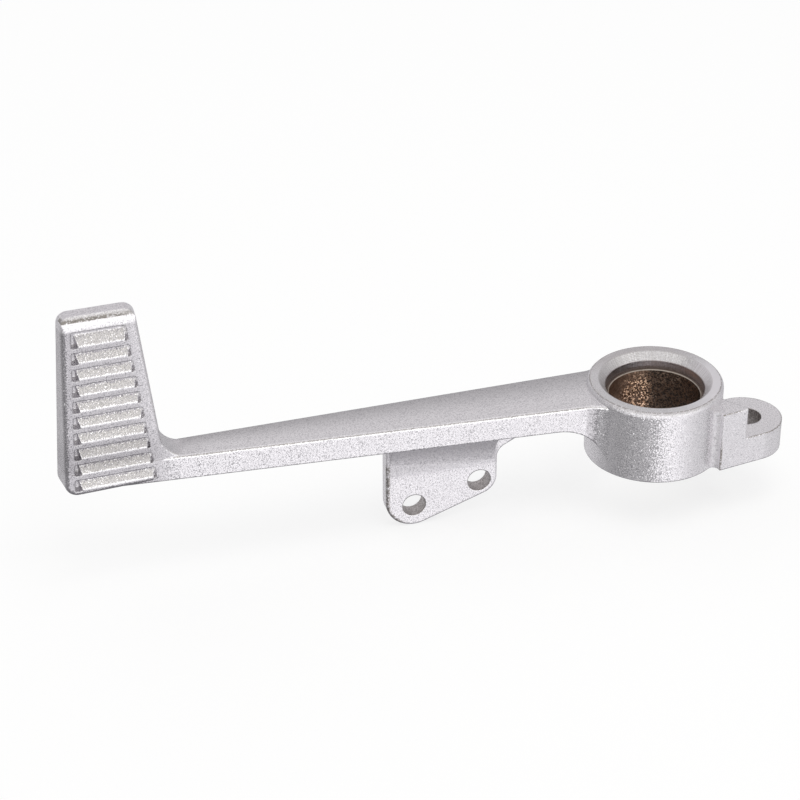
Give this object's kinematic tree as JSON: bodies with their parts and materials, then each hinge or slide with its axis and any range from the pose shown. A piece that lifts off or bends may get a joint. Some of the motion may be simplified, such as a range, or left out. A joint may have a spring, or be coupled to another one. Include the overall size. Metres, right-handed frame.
{
  "type": "rear brake pedal",
  "caption": "Cast foot lever: upright serrated tread on a flat tapered arm, a bushed pivot boss at the far end, a clevis lug beside the boss and a drilled tab under the arm.",
  "frame": {"origin": "on the pivot axis, at half the length of the bush", "axes": "+Z along the pivot axis, towards the side the tread stands up on; -X along the arm to the tread; the tread faces -Y"},
  "size_m": [0.1988, 0.0372, 0.0797],
  "materials": {
    "cast_alloy": "grainy cast silver, satin",
    "sintered_bronze": "dark, speckled, oil-soaked"
  },
  "bodies": {
    "root": {"pedal_casting": "cast_alloy", "pivot_bush": "sintered_bronze"}
  },
  "joints": []
}
